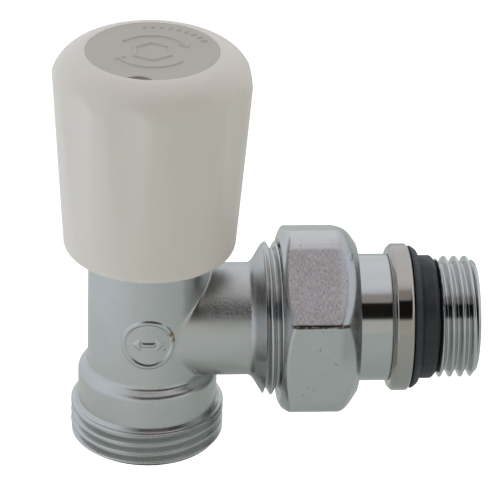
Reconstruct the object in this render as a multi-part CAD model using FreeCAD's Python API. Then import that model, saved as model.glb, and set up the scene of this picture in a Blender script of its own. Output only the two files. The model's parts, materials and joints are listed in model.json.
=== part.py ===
import FreeCAD, Part
import math
import os

# Angled lockshield radiator valve. Millimetres.
# The inlet's bottom face is at z = 0 and the spindle stands on +Z.
# The union and its tailpiece run along +X at the height of the branch.

os.makedirs("parts", exist_ok=True)
Vector = FreeCAD.Vector

# General clearances.
running_fit = 0.06
static_gap = 0.03
ring_play = 0.1

# How far a cutter runs past what it cuts, and how near an edge must lie to be the one looked for.
overshoot = 1.0
found_within = 1e-3

# Turn about Z that brings the +X side to the front.
to_front = -90.0

# Pipe threads: crest radius, root radius and pitch of G 3/4 and G 1/2.
thread_34_crest = 13.22
thread_34_root = 12.06
thread_34_pitch = 1.814
thread_12_crest = 10.478
thread_12_root = 9.32
thread_12_pitch = 1.814
groove_mouth = 0.42
groove_floor = 0.08

# Valve body.
collar_height = 6.6
inlet_chamfer = 0.7
inlet_first_crest = 0.95
inlet_grooves = 3
barrel_radius = 12.0
barrel_height = 13.6
barrel_rounding = 1.0
neck_radius = 10.4
neck_top = 38.0
branch_height = 22.0
branch_radius = 9.7
branch_cone_start = 17.1
branch_cone_end = 19.7
branch_end = 27.4
branch_grooves = 4
junction_rounding = 0.45

# Passages in the valve body.
mouth_radius = 9.2
mouth_depth = 1.5
socket_cone_end = 3.6
socket_radius = 8.0
socket_depth = 10.5
seat_passage_radius = 5.0
chamber_floor = 15.4
chamber_radius = 8.3
seat_lip_radius = 5.8
seat_lip_top = 16.4
bonnet_bore_radius = 8.8
bonnet_bore_start = 30.0
branch_bore_radius = 6.3
nose_bore_radius = 8.3
nose_bore_start = 24.6

# Raised mark on the neck.
mark_height = 22.8
mark_radius = 5.0
mark_line = 0.85
mark_relief = 0.36
mark_arrow_half = 3.1
mark_arrow_head = 1.7
mark_arrow_half_width = 1.4

# Bonnet.
bonnet_start = 30.3
bonnet_hex_flats = 19.0
bonnet_hex_top = 43.5
tower_radius = 7.5
tower_top = 57.0
guide_radius = 5.6
guide_top = 44.2
spindle_thread_crest = 4.0
spindle_thread_root = 3.4
spindle_pitch = 1.0
bonnet_thread_top = 52.0
key_well_radius = 5.0
stop_groove_radius = 5.6
stop_groove_low = 54.0
stop_groove_width = 1.1
stop_clip_reach = 0.8
stop_clip_gap = 2.0
bonnet_oring_section = 0.8
bonnet_oring_height = 36.9

# Spindle.
pin_radius = 2.4
pin_start = 23.1
head_start = 33.0
head_top = 42.0
spindle_top = 51.0
pin_groove_low = 26.2
pin_groove_width = 1.0
pin_groove_radius = 1.8
key_flats = 5.0
key_depth = 6.0
spindle_oring_section = 0.75
spindle_oring_heights = (35.4, 39.4)

# Shutter, which lifts off the seat.
shutter_low = 19.2
shutter_radius = 6.9
shutter_shoulder = 23.4
shutter_hub_radius = 4.3
shutter_top = 28.6
shutter_blind_floor = 22.9
swivel_groove_radius = 3.3
swivel_clip_gap = 1.6
washer_low = 18.4
washer_top = 20.2
washer_radius = 6.3
washer_hole_radius = 1.7
screw_shank_radius = 1.5
screw_shank_top = 21.8
screw_head_radius = 3.3
screw_head_low = 17.1
screw_head_bevel = 0.5
screw_slot_width = 0.8
screw_slot_depth = 0.6

# Union nut and what it clamps.
nut_start = 22.3
nut_end = 35.6
nut_flats = 31.2
nut_face_radius = 14.5
nut_back_radius = 13.0
nut_corner_radius = 17.9
nut_chamfer_start = 1.5
nut_chamfer_end = 3.3
nut_parting_turn = 24.5
nut_parting_rounding = 0.6
nut_edge_rounding = 4.4
nut_bore_radius = 13.32
nut_back_wall = 31.6
slip_ring_thickness = 0.8
tail_shoulder_start = 27.7
tail_shoulder_end = 30.7
tail_shoulder_radius = 12.8

# Tailpiece.
tail_nose_start = 24.9
tail_nose_radius = 8.2
tail_nose_lead = 0.6
tail_nose_groove_radius = 6.75
tail_nose_groove_centre = 26.3
tail_oring_section = 0.7
tail_radius = 10.95
tail_pipe_end = 41.2
ring_seat_radius = 10.2
thrust_ring_radius = 12.7
thrust_ring_end = 44.9
thrust_ring_chamfer = 0.7
gasket_flange_radius = 12.3
gasket_flange_end = 46.2
gasket_radius = 10.65
gasket_body_end = 48.9
gasket_end = 49.3
gasket_flange_taper = 0.5
gasket_tip_radius = 9.7
gasket_seat_radius = 9.4
tail_end = 56.4
tail_first_crest = 49.9
tail_grooves = 3
tail_lead_start = 55.5
tail_end_radius = 9.5
tail_bore_radius = 5.9
tail_key_flats = 12.0
tail_key_depth = 6.0

# Protective cap and what holds it.
cap_low = 36.5
cap_low_radius = 14.55
cap_wide_height = 67.5
cap_wide_radius = 16.9
cap_top = 72.85
cap_shoulder_rounding = 5.7
cap_rim_rounding = 1.5
cap_wall = 2.1
cap_inner_top = 68.8
cap_corner_drop = 3.0
cap_hub_inner_radius = 9.6
cap_hub_outer_radius = 11.2
cap_hub_low = 50.0
disc_recess_radius = 11.15
disc_recess_floor = 71.3
disc_radius = 11.0
disc_top = 72.8
key_hole_radius = 5.4
disc_skirt_radius = 5.25
disc_skirt_inner_radius = 4.6
disc_skirt_low = 69.2
disc_notch_width = 4.1
disc_notch_depth = 1.25
disc_notch_turn = -13.0
flute_count = 10
flute_ridge_turn = 2.0
flute_depth = 0.5
flute_cutter_radius = 30.0
flute_top = 70.0
flute_fade = 42.0
sleeve_low = 44.6
sleeve_top = 62.0
sleeve_radius = 9.5
sleeve_inner_radius = 7.65
sleeve_foot_radius = 10.1
sleeve_foot_gap = 0.3
snap_groove_low = 59.0
snap_groove_width = 1.1
snap_groove_sleeve_radius = 8.9
snap_groove_hub_radius = 10.2
snap_ring_gap = 2.4
grip_height = 48.6
grip_section = 0.8

# Relief on the cap's disc.
relief = 0.35
relief_hex_flats = 6.4
relief_hex_turn = 30.0
relief_line = 0.7
relief_arc_radius = 6.2
relief_arc_start = 25.0
relief_arc_end = 140.0
relief_head = 1.7
tick_count = 9
tick_spread = 72.0
tick_middle = 150.0
tick_inner_radius = 9.0
tick_outer_radius = 10.1
tick_width = 0.6


def upright(points):
    """Solid of revolution about Z from (radius, height) points."""
    corners = [Vector(radius, 0, height) for radius, height in points]
    face = Part.Face(Part.makePolygon(corners + corners[:1]))
    return face.revolve(Vector(0, 0, 0), Vector(0, 0, 1), 360)


def sideways(points):
    """Solid of revolution about the branch axis from (x, radius) points."""
    corners = [Vector(x, 0, branch_height + radius) for x, radius in points]
    face = Part.Face(Part.makePolygon(corners + corners[:1]))
    return face.revolve(Vector(0, 0, branch_height), Vector(1, 0, 0), 360)


def upright_tube(inner, outer, low, high):
    return upright([(inner, low), (outer, low), (outer, high), (inner, high)])


def sideways_tube(inner, outer, low, high):
    return sideways([(low, inner), (high, inner), (high, outer), (low, outer)])


def upright_rod(radius, low, high):
    return Part.makeCylinder(radius, high - low, Vector(0, 0, low), Vector(0, 0, 1))


def sideways_rod(radius, low, high):
    return Part.makeCylinder(radius, high - low, Vector(low, 0, branch_height), Vector(1, 0, 0))


def upright_oring(middle, section, height):
    return Part.makeTorus(middle, section, Vector(0, 0, height), Vector(0, 0, 1))


def hexagon(flats, low, high, direction, turn=0.0):
    """Hexagonal prism; low and high are measured along direction from its base point."""
    corner = flats / math.sqrt(3)
    angles = [math.radians(60 * side + turn) for side in range(7)]
    if direction == "up":
        corners = [Vector(corner * math.cos(a), corner * math.sin(a), low) for a in angles]
        return Part.Face(Part.makePolygon(corners)).extrude(Vector(0, 0, high - low))
    corners = [Vector(low, corner * math.cos(a), branch_height + corner * math.sin(a)) for a in angles]
    return Part.Face(Part.makePolygon(corners)).extrude(Vector(high - low, 0, 0))


def thread_line(first_crest, grooves, crest, root, pitch):
    """(position, radius) points of ring-shaped thread grooves, from one crest to the next."""
    line = []
    for index in range(grooves):
        middle = first_crest + (index + 0.5) * pitch
        line.append((middle - groove_mouth * pitch, crest))
        line.append((middle - groove_floor * pitch, root))
        line.append((middle + groove_floor * pitch, root))
        line.append((middle + groove_mouth * pitch, crest))
    return line


def circle_edges(shape, radius, middle):
    """Round edges of a shape with this radius and this centre."""
    found = []
    for edge in shape.Edges:
        curve = edge.Curve
        if not isinstance(curve, Part.Circle):
            continue
        if abs(curve.Radius - radius) < found_within and curve.Center.distanceToPoint(middle) < found_within:
            found.append(edge)
    return found


def body_outside():
    thread = thread_line(inlet_first_crest, inlet_grooves, thread_34_crest, thread_34_root, thread_34_pitch)
    upright_outline = [(0, 0), (thread_34_crest - inlet_chamfer, 0), (thread_34_crest, inlet_chamfer)]
    upright_outline += [(radius, height) for height, radius in thread]
    upright_outline += [(thread_34_crest, collar_height), (barrel_radius, collar_height)]
    upright_outline += [(barrel_radius, barrel_height), (neck_radius, barrel_height)]
    upright_outline += [(neck_radius, neck_top), (0, neck_top)]
    column = upright(upright_outline)
    shoulder = circle_edges(column, barrel_radius, Vector(0, 0, barrel_height))
    column = column.makeFillet(barrel_rounding, shoulder)
    pipe = sideways_rod(branch_radius, 0, branch_cone_start)
    body = column.fuse(pipe)
    crossing = [edge for edge in body.Edges if not isinstance(edge.Curve, (Part.Line, Part.Circle))]
    body = body.makeFillet(junction_rounding, crossing)
    thread = thread_line(branch_cone_end, branch_grooves, thread_34_crest, thread_34_root, thread_34_pitch)
    head_outline = [(branch_cone_start, 0), (branch_cone_start, branch_radius)]
    head_outline += [(branch_cone_end, thread_34_crest)]
    head_outline += thread
    head_outline += [(branch_end - inlet_chamfer, thread_34_crest)]
    head_outline += [(branch_end, thread_34_crest - inlet_chamfer), (branch_end, 0)]
    return body.fuse(sideways(head_outline))


def body_passages():
    below = [(0, 0), (mouth_radius, 0), (mouth_radius, mouth_depth), (socket_radius, socket_cone_end)]
    below += [(socket_radius, socket_depth), (0, socket_depth)]
    passage = upright_rod(seat_passage_radius, 0, chamber_floor + overshoot)
    chamber = upright_rod(chamber_radius, chamber_floor, neck_top)
    bonnet_bore = upright_rod(bonnet_bore_radius, bonnet_bore_start, neck_top)
    branch_bore = sideways_rod(branch_bore_radius, 0, branch_end)
    nose_bore = sideways_rod(nose_bore_radius, nose_bore_start, branch_end)
    return upright(below).multiFuse([passage, chamber, bonnet_bore, branch_bore, nose_bore])


def arrow_head(tip_x, back_x, half_width):
    """Flat arrow head in the XZ plane about the mark's centre, pushed through the front of the neck."""
    corners = [Vector(tip_x, 0, mark_height), Vector(back_x, 0, mark_height + half_width)]
    corners += [Vector(back_x, 0, mark_height - half_width), Vector(tip_x, 0, mark_height)]
    return Part.Face(Part.makePolygon(corners)).extrude(Vector(0, -neck_radius - overshoot, 0))


def neck_mark():
    """Raised ring with a two-way flow arrow, wrapped on the front of the neck."""
    through = neck_radius + overshoot
    start = Vector(0, 0, mark_height)
    outer = Part.makeCylinder(mark_radius, through, start, Vector(0, -1, 0))
    inner = Part.makeCylinder(mark_radius - mark_line, through, start, Vector(0, -1, 0))
    shaft_half = mark_arrow_half - mark_arrow_head / 2
    shaft_corner = Vector(-shaft_half, -through, mark_height - mark_line / 2)
    shaft = Part.makeBox(2 * shaft_half, through, mark_line, shaft_corner)
    left = arrow_head(-mark_arrow_half, mark_arrow_head - mark_arrow_half, mark_arrow_half_width)
    right = arrow_head(mark_arrow_half, mark_arrow_half - mark_arrow_head, mark_arrow_half_width)
    symbol = outer.cut(inner).multiFuse([shaft, left, right])
    low = mark_height - mark_radius - overshoot
    high = mark_height + mark_radius + overshoot
    skin = upright_tube(chamber_radius + overshoot, neck_radius + mark_relief, low, high)
    return symbol.common(skin)


def valve_body():
    lip = upright_tube(seat_passage_radius, seat_lip_radius, chamber_floor - overshoot, seat_lip_top)
    solid = body_outside().fuse(neck_mark()).cut(body_passages())
    return solid.fuse(lip)


def bonnet():
    plug_radius = bonnet_bore_radius - static_gap
    groove_low = bonnet_oring_height - bonnet_oring_section - ring_play
    groove_high = bonnet_oring_height + bonnet_oring_section + ring_play
    groove_radius = plug_radius - 2 * bonnet_oring_section - ring_play
    outline = [(guide_radius, bonnet_start), (plug_radius, bonnet_start), (plug_radius, groove_low)]
    outline += [(groove_radius, groove_low), (groove_radius, groove_high), (plug_radius, groove_high)]
    outline += [(plug_radius, neck_top), (tower_radius, neck_top), (tower_radius, tower_top)]
    outline += [(key_well_radius, tower_top), (key_well_radius, stop_groove_low + stop_groove_width)]
    outline += [(stop_groove_radius, stop_groove_low + stop_groove_width)]
    outline += [(stop_groove_radius, stop_groove_low)]
    outline += [(key_well_radius, stop_groove_low), (key_well_radius, bonnet_thread_top)]
    thread_wall = spindle_thread_crest + running_fit
    outline += [(thread_wall, bonnet_thread_top), (thread_wall, guide_top), (guide_radius, guide_top)]
    hexagon_part = hexagon(bonnet_hex_flats, neck_top, bonnet_hex_top, "up")
    room = upright_rod(tower_radius - overshoot, neck_top - overshoot, bonnet_hex_top + overshoot)
    hexagon_part = hexagon_part.cut(room)
    return upright(outline).fuse(hexagon_part)


def bonnet_oring():
    middle = bonnet_bore_radius - static_gap - bonnet_oring_section - ring_play / 2
    return upright_oring(middle, bonnet_oring_section, bonnet_oring_height)


def split_ring(inner, outer, low, high, gap):
    """Flat ring about Z with a gap on its -X side."""
    ring = upright_tube(inner, outer, low, high)
    corner = Vector(-outer - overshoot, -gap / 2, low - overshoot)
    slot = Part.makeBox(outer + overshoot, gap, high - low + 2 * overshoot, corner)
    return ring.cut(slot)


def spindle_stop_clip():
    low = stop_groove_low + static_gap
    high = stop_groove_low + stop_groove_width - static_gap
    inner = key_well_radius - stop_clip_reach
    return split_ring(inner, stop_groove_radius - static_gap, low, high, stop_clip_gap)


def key_spindle():
    head_radius = guide_radius - running_fit
    groove_radius = head_radius - 2 * spindle_oring_section - ring_play
    half_groove = spindle_oring_section + ring_play
    outline = [(0, pin_start), (pin_radius, pin_start), (pin_radius, pin_groove_low)]
    outline += [(pin_groove_radius, pin_groove_low), (pin_groove_radius, pin_groove_low + pin_groove_width)]
    outline += [(pin_radius, pin_groove_low + pin_groove_width)]
    outline += [(pin_radius, head_start), (head_radius, head_start)]
    for height in spindle_oring_heights:
        outline += [(head_radius, height - half_groove), (groove_radius, height - half_groove)]
        outline += [(groove_radius, height + half_groove), (head_radius, height + half_groove)]
    outline += [(head_radius, head_top)]
    turns = int((spindle_top - head_top) / spindle_pitch) - 1
    first_crest = head_top + spindle_pitch
    thread = thread_line(first_crest, turns, spindle_thread_crest, spindle_thread_root, spindle_pitch)
    outline += [(spindle_thread_crest, head_top)]
    outline += [(radius, height) for height, radius in thread]
    outline += [(spindle_thread_crest, spindle_top), (0, spindle_top)]
    socket = hexagon(key_flats, spindle_top - key_depth, spindle_top, "up")
    return upright(outline).cut(socket)


def spindle_oring(height):
    middle = guide_radius - 2 * running_fit - spindle_oring_section
    return upright_oring(middle, spindle_oring_section, height)


def obturator():
    bore = pin_radius + running_fit
    clip_low = pin_groove_low - static_gap
    clip_high = pin_groove_low + pin_groove_width + static_gap
    hole = screw_shank_radius + static_gap
    outline = [(washer_radius + static_gap, shutter_low), (shutter_radius, shutter_low)]
    outline += [(shutter_radius, shutter_shoulder), (shutter_hub_radius, shutter_shoulder)]
    outline += [(shutter_hub_radius, shutter_top), (bore, shutter_top), (bore, clip_high)]
    outline += [(swivel_groove_radius, clip_high), (swivel_groove_radius, clip_low), (bore, clip_low)]
    outline += [(bore, shutter_blind_floor), (0, shutter_blind_floor), (0, screw_shank_top + static_gap)]
    outline += [(hole, screw_shank_top + static_gap), (hole, washer_top)]
    outline += [(washer_radius + static_gap, washer_top)]
    return upright(outline)


def seat_washer():
    return upright_tube(washer_hole_radius, washer_radius, washer_low, washer_top)


def washer_screw():
    outline = [(0, screw_head_low), (screw_head_radius - screw_head_bevel, screw_head_low)]
    outline += [(screw_head_radius, screw_head_low + screw_head_bevel), (screw_head_radius, washer_low)]
    outline += [(screw_shank_radius, washer_low), (screw_shank_radius, screw_shank_top), (0, screw_shank_top)]
    length = 2 * (screw_head_radius + overshoot)
    corner = Vector(-length / 2, -screw_slot_width / 2, screw_head_low - overshoot)
    slot = Part.makeBox(length, screw_slot_width, screw_slot_depth + overshoot, corner)
    return upright(outline).cut(slot)


def swivel_clip():
    low = pin_groove_low + ring_play
    high = pin_groove_low + pin_groove_width - ring_play
    inner = pin_groove_radius + ring_play
    return split_ring(inner, swivel_groove_radius - ring_play, low, high, swivel_clip_gap)


def cap_radius(height):
    """Outer radius of the tapered skirt at a height."""
    rise = (height - cap_low) / (cap_wide_height - cap_low)
    return cap_low_radius + rise * (cap_wide_radius - cap_low_radius)


def cap_flutes():
    """Tall round cutters that lean out downwards, so each flute fades before the rim."""
    cutters = []
    for index in range(flute_count):
        turn = flute_ridge_turn + 360 / flute_count * (index + 0.5) + to_front
        top_reach = cap_radius(flute_top) - flute_depth + flute_cutter_radius
        low_reach = cap_radius(flute_fade) + flute_cutter_radius
        low_point = Vector(low_reach, 0, flute_fade)
        lean = Vector(top_reach - low_reach, 0, flute_top - flute_fade)
        cutter = Part.makeCylinder(flute_cutter_radius, lean.Length, low_point, lean)
        cutter.rotate(Vector(0, 0, 0), Vector(0, 0, 1), turn)
        cutters.append(cutter)
    return cutters


def cap_shell():
    outline = [(cap_low_radius - cap_wall, cap_low), (cap_low_radius, cap_low)]
    outline += [(cap_wide_radius, cap_wide_height), (cap_wide_radius, cap_top), (disc_recess_radius, cap_top)]
    outline += [(disc_recess_radius, disc_recess_floor), (key_hole_radius, disc_recess_floor)]
    outline += [(key_hole_radius, cap_inner_top), (cap_hub_inner_radius, cap_inner_top)]
    outline += [(cap_hub_inner_radius, snap_groove_low + snap_groove_width)]
    outline += [(snap_groove_hub_radius, snap_groove_low + snap_groove_width)]
    outline += [(snap_groove_hub_radius, snap_groove_low), (cap_hub_inner_radius, snap_groove_low)]
    outline += [(cap_hub_inner_radius, cap_hub_low), (cap_hub_outer_radius, cap_hub_low)]
    corner = cap_radius(cap_inner_top - cap_corner_drop) - cap_wall
    outline += [(cap_hub_outer_radius, cap_inner_top), (corner, cap_inner_top)]
    shell = upright(outline)
    rounded = circle_edges(shell, cap_wide_radius, Vector(0, 0, cap_top))
    shell = shell.makeFillet(cap_shoulder_rounding, rounded)
    rim = circle_edges(shell, cap_low_radius, Vector(0, 0, cap_low))
    shell = shell.makeFillet(cap_rim_rounding, rim)
    for cutter in cap_flutes():
        shell = shell.cut(cutter)
    return shell


def relief_arrow(turn):
    """Curved arrow on the disc, from the start angle to the end angle, turned about Z."""
    inner = relief_arc_radius - relief_line / 2
    outer = relief_arc_radius + relief_line / 2
    sweep = relief_arc_end - relief_arc_start
    flat = [Vector(inner, 0, disc_top), Vector(outer, 0, disc_top)]
    flat += [Vector(outer, 0, disc_top + relief), Vector(inner, 0, disc_top + relief)]
    arc = Part.Face(Part.makePolygon(flat + flat[:1])).revolve(Vector(0, 0, 0), Vector(0, 0, 1), sweep)
    head = [Vector(relief_arc_radius - relief_head / 2, 0, disc_top)]
    head += [Vector(relief_arc_radius + relief_head / 2, 0, disc_top)]
    head += [Vector(relief_arc_radius, -relief_head, disc_top)]
    tip = Part.Face(Part.makePolygon(head + head[:1])).extrude(Vector(0, 0, relief))
    arrow = arc.fuse(tip)
    arrow.rotate(Vector(0, 0, 0), Vector(0, 0, 1), relief_arc_start + turn)
    return arrow


def relief_ticks():
    """Row of short raised bars near the disc's rim."""
    bars = []
    for index in range(tick_count):
        turn = tick_middle + tick_spread * (index / (tick_count - 1) - 0.5) + to_front
        corner = Vector(tick_inner_radius, -tick_width / 2, disc_top)
        bar = Part.makeBox(tick_outer_radius - tick_inner_radius, tick_width, relief, corner)
        bar.rotate(Vector(0, 0, 0), Vector(0, 0, 1), turn)
        bars.append(bar)
    return bars


def cap_disc():
    plate = upright_rod(disc_radius, disc_recess_floor, disc_top)
    skirt = upright_tube(disc_skirt_inner_radius, disc_skirt_radius, disc_skirt_low, disc_recess_floor)
    corner = Vector(-disc_notch_width / 2, -disc_radius - overshoot, disc_recess_floor - overshoot)
    notch_height = disc_top - disc_recess_floor + 2 * overshoot
    notch = Part.makeBox(disc_notch_width, disc_notch_depth + overshoot, notch_height, corner)
    notch.rotate(Vector(0, 0, 0), Vector(0, 0, 1), disc_notch_turn)
    relief_top = disc_top + relief
    ring = hexagon(relief_hex_flats, disc_top, relief_top, "up", turn=relief_hex_turn)
    inside = hexagon(relief_hex_flats - 2 * relief_line, disc_top, relief_top, "up", turn=relief_hex_turn)
    ring = ring.cut(inside)
    marks = [ring, relief_arrow(0.0), relief_arrow(180.0)] + relief_ticks()
    return plate.cut(notch).multiFuse([skirt] + marks)


def cap_sleeve():
    groove_low = grip_height - grip_section - ring_play
    groove_high = grip_height + grip_section + ring_play
    groove_radius = sleeve_inner_radius + 2 * grip_section + ring_play / 2
    foot_top = cap_hub_low - sleeve_foot_gap
    snap_high = snap_groove_low + snap_groove_width
    outline = [(sleeve_inner_radius, sleeve_low), (sleeve_foot_radius, sleeve_low)]
    outline += [(sleeve_foot_radius, foot_top), (sleeve_radius, foot_top), (sleeve_radius, snap_groove_low)]
    outline += [(snap_groove_sleeve_radius, snap_groove_low), (snap_groove_sleeve_radius, snap_high)]
    outline += [(sleeve_radius, snap_high), (sleeve_radius, sleeve_top), (sleeve_inner_radius, sleeve_top)]
    outline += [(sleeve_inner_radius, groove_high), (groove_radius, groove_high)]
    outline += [(groove_radius, groove_low), (sleeve_inner_radius, groove_low)]
    return upright(outline)


def cap_grip_ring():
    return upright_oring(sleeve_inner_radius + grip_section, grip_section, grip_height)


def cap_snap_ring():
    low = snap_groove_low + ring_play
    high = snap_groove_low + snap_groove_width - ring_play
    inner = snap_groove_sleeve_radius + static_gap
    return split_ring(inner, snap_groove_hub_radius - ring_play, low, high, snap_ring_gap)


def nut_edges(blank, turns):
    """Edges along the nut at these angles round the branch, measured from the front upwards."""
    corner = nut_flats / math.sqrt(3)
    places = []
    for turn in turns:
        angle = math.radians(nut_parting_turn + turn)
        height = branch_height + corner * math.sin(angle)
        places.append(Vector((nut_start + nut_end) / 2, -corner * math.cos(angle), height))
    found = []
    for edge in blank.Edges:
        if min(edge.CenterOfMass.distanceToPoint(place) for place in places) < found_within:
            found.append(edge)
    return found


def union_nut():
    """Forged nut: nearly sharp where the two dies met, well rounded at its other four corners."""
    blank = hexagon(nut_flats, nut_start, nut_end, "along", turn=180 - nut_parting_turn)
    blank = blank.makeFillet(nut_parting_rounding, nut_edges(blank, (0, 180)))
    blank = blank.makeFillet(nut_edge_rounding, nut_edges(blank, (60, 120, 240, 300)))
    outline = [(nut_start, 0), (nut_start, nut_face_radius)]
    outline += [(nut_start + nut_chamfer_start, nut_corner_radius)]
    outline += [(nut_end - nut_chamfer_end, nut_corner_radius), (nut_end, nut_back_radius), (nut_end, 0)]
    turned = sideways(outline)
    hollow = sideways_rod(nut_bore_radius, nut_start, nut_back_wall)
    hole = sideways_rod(tail_radius + running_fit, nut_start, nut_end)
    return blank.common(turned).cut(hollow).cut(hole)


def union_slip_ring():
    inner = tail_radius + running_fit
    outer = nut_bore_radius - running_fit
    return sideways_tube(inner, outer, nut_back_wall - slip_ring_thickness, nut_back_wall)


def tailpiece():
    groove_half = tail_oring_section + ring_play
    lead_end = tail_nose_start + tail_nose_lead
    outline = [(tail_nose_start, tail_bore_radius), (tail_nose_start, tail_nose_radius - tail_nose_lead)]
    outline += [(lead_end, tail_nose_radius), (tail_nose_groove_centre - groove_half, tail_nose_radius)]
    outline += [(tail_nose_groove_centre - groove_half, tail_nose_groove_radius)]
    outline += [(tail_nose_groove_centre + groove_half, tail_nose_groove_radius)]
    outline += [(tail_nose_groove_centre + groove_half, tail_nose_radius)]
    outline += [(tail_shoulder_start, tail_nose_radius)]
    outline += [(tail_shoulder_start, tail_shoulder_radius), (tail_shoulder_end, tail_shoulder_radius)]
    outline += [(tail_shoulder_end, tail_radius), (tail_pipe_end, tail_radius)]
    outline += [(tail_pipe_end, ring_seat_radius), (thrust_ring_end, ring_seat_radius)]
    outline += [(thrust_ring_end, gasket_seat_radius)]
    outline += [(gasket_end, gasket_seat_radius), (gasket_end, thread_12_crest)]
    outline += thread_line(tail_first_crest, tail_grooves, thread_12_crest, thread_12_root, thread_12_pitch)
    outline += [(tail_lead_start, thread_12_crest), (tail_end, tail_end_radius), (tail_end, tail_bore_radius)]
    key = hexagon(tail_key_flats, tail_end - tail_key_depth, tail_end, "along")
    return sideways(outline).cut(key)


def tail_nose_oring():
    middle = tail_nose_groove_radius + static_gap + tail_oring_section
    centre = Vector(tail_nose_groove_centre, 0, branch_height)
    return Part.makeTorus(middle, tail_oring_section, centre, Vector(1, 0, 0))


def thrust_ring():
    inner = ring_seat_radius + static_gap
    edge = thrust_ring_radius - thrust_ring_chamfer
    outline = [(tail_pipe_end, inner), (tail_pipe_end, edge)]
    outline += [(tail_pipe_end + thrust_ring_chamfer, thrust_ring_radius)]
    outline += [(thrust_ring_end - thrust_ring_chamfer, thrust_ring_radius), (thrust_ring_end, edge)]
    outline += [(thrust_ring_end, inner)]
    return sideways(outline)


def tail_gasket():
    inner = gasket_seat_radius + static_gap
    outline = [(thrust_ring_end, inner), (thrust_ring_end, gasket_flange_radius)]
    outline += [(gasket_flange_end, gasket_flange_radius - gasket_flange_taper)]
    outline += [(gasket_flange_end, gasket_radius), (gasket_body_end, gasket_radius)]
    outline += [(gasket_end, gasket_tip_radius), (gasket_end, inner)]
    return sideways(outline)


pieces = {
    "valve_body": valve_body(),
    "bonnet": bonnet(),
    "bonnet_oring": bonnet_oring(),
    "spindle_stop_clip": spindle_stop_clip(),
    "key_spindle": key_spindle(),
    "spindle_oring_lower": spindle_oring(spindle_oring_heights[0]),
    "spindle_oring_upper": spindle_oring(spindle_oring_heights[1]),
    "obturator": obturator(),
    "seat_washer": seat_washer(),
    "washer_screw": washer_screw(),
    "swivel_clip": swivel_clip(),
    "cap_shell": cap_shell(),
    "cap_disc": cap_disc(),
    "cap_sleeve": cap_sleeve(),
    "cap_grip_ring": cap_grip_ring(),
    "cap_snap_ring": cap_snap_ring(),
    "union_nut": union_nut(),
    "union_slip_ring": union_slip_ring(),
    "tailpiece": tailpiece(),
    "tail_nose_oring": tail_nose_oring(),
    "thrust_ring": thrust_ring(),
    "tail_gasket": tail_gasket(),
}

for name, shape in pieces.items():
    solid = shape.removeSplitter()
    solid.exportStep(f"parts/{name}.step")
    print(name, len(solid.Solids), solid.isValid(), round(solid.Volume, 1))
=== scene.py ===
import json
import math

import bpy
import numpy as np
from mathutils import Matrix, Vector


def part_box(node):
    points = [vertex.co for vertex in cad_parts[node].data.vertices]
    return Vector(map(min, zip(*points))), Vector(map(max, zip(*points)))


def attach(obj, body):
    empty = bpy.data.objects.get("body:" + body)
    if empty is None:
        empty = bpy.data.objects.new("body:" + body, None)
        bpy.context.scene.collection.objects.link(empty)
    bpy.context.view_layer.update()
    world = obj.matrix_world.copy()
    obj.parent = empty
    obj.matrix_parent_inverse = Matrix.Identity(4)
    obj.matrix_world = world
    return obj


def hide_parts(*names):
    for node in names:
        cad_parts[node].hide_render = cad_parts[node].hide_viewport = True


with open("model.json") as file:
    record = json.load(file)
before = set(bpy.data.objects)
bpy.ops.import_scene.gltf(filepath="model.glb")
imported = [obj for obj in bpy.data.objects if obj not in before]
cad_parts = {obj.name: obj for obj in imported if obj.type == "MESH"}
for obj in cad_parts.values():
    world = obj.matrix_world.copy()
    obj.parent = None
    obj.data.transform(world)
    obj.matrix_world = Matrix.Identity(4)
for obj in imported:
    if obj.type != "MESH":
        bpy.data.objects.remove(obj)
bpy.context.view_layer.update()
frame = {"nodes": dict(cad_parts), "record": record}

# Looks of the angled lockshield valve. Shapes are worked out in millimetres and written to meshes in metres.
# An angle round the branch is measured from the front (-Y) upwards, and one round the spindle from the front
# to the right.

MM = 0.001


def low_mm(node):
    return np.array(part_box(node)[0]) / MM


def high_mm(node):
    return np.array(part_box(node)[1]) / MM


mounts = {mount["name"]: mount for mount in frame["record"]["mounts"]}

# Sizes from the frame.
branch_height = mounts["outlet_thread"]["pos_m"][2] / MM
crest_34 = mounts["inlet_thread"]["dims"]["r_mm"]
crest_12 = mounts["outlet_thread"]["dims"]["r_mm"]
water_way = mounts["outlet_bore"]["dims"]["r_mm"]
mouth_radius = mounts["inlet_mouth"]["dims"]["r_mm"]
mouth_depth = mounts["inlet_mouth"]["dims"]["length_mm"]
socket_radius = mounts["inlet_socket"]["dims"]["r_mm"]
neck_top = high_mm("valve_body")[2]
branch_end = high_mm("valve_body")[0]
nut_start, nut_end = low_mm("union_nut")[0], high_mm("union_nut")[0]
tail_start, tail_end = low_mm("tailpiece")[0], high_mm("tailpiece")[0]
ring_start, ring_end = low_mm("thrust_ring")[0], high_mm("thrust_ring")[0]
ring_radius = high_mm("thrust_ring")[1]
gasket_start, gasket_end = low_mm("tail_gasket")[0], high_mm("tail_gasket")[0]
cap_low, cap_top = low_mm("cap_shell")[2], high_mm("cap_shell")[2]
disc_radius = high_mm("cap_disc")[1]
disc_low = low_mm("cap_disc")[2]

# Whitworth pipe thread: both sizes share one pitch.
pitch = 1.814
thread_depth = 0.6403 * pitch
rounding = 0.1373 * pitch
flank_tilt = math.radians(27.5)

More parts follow.
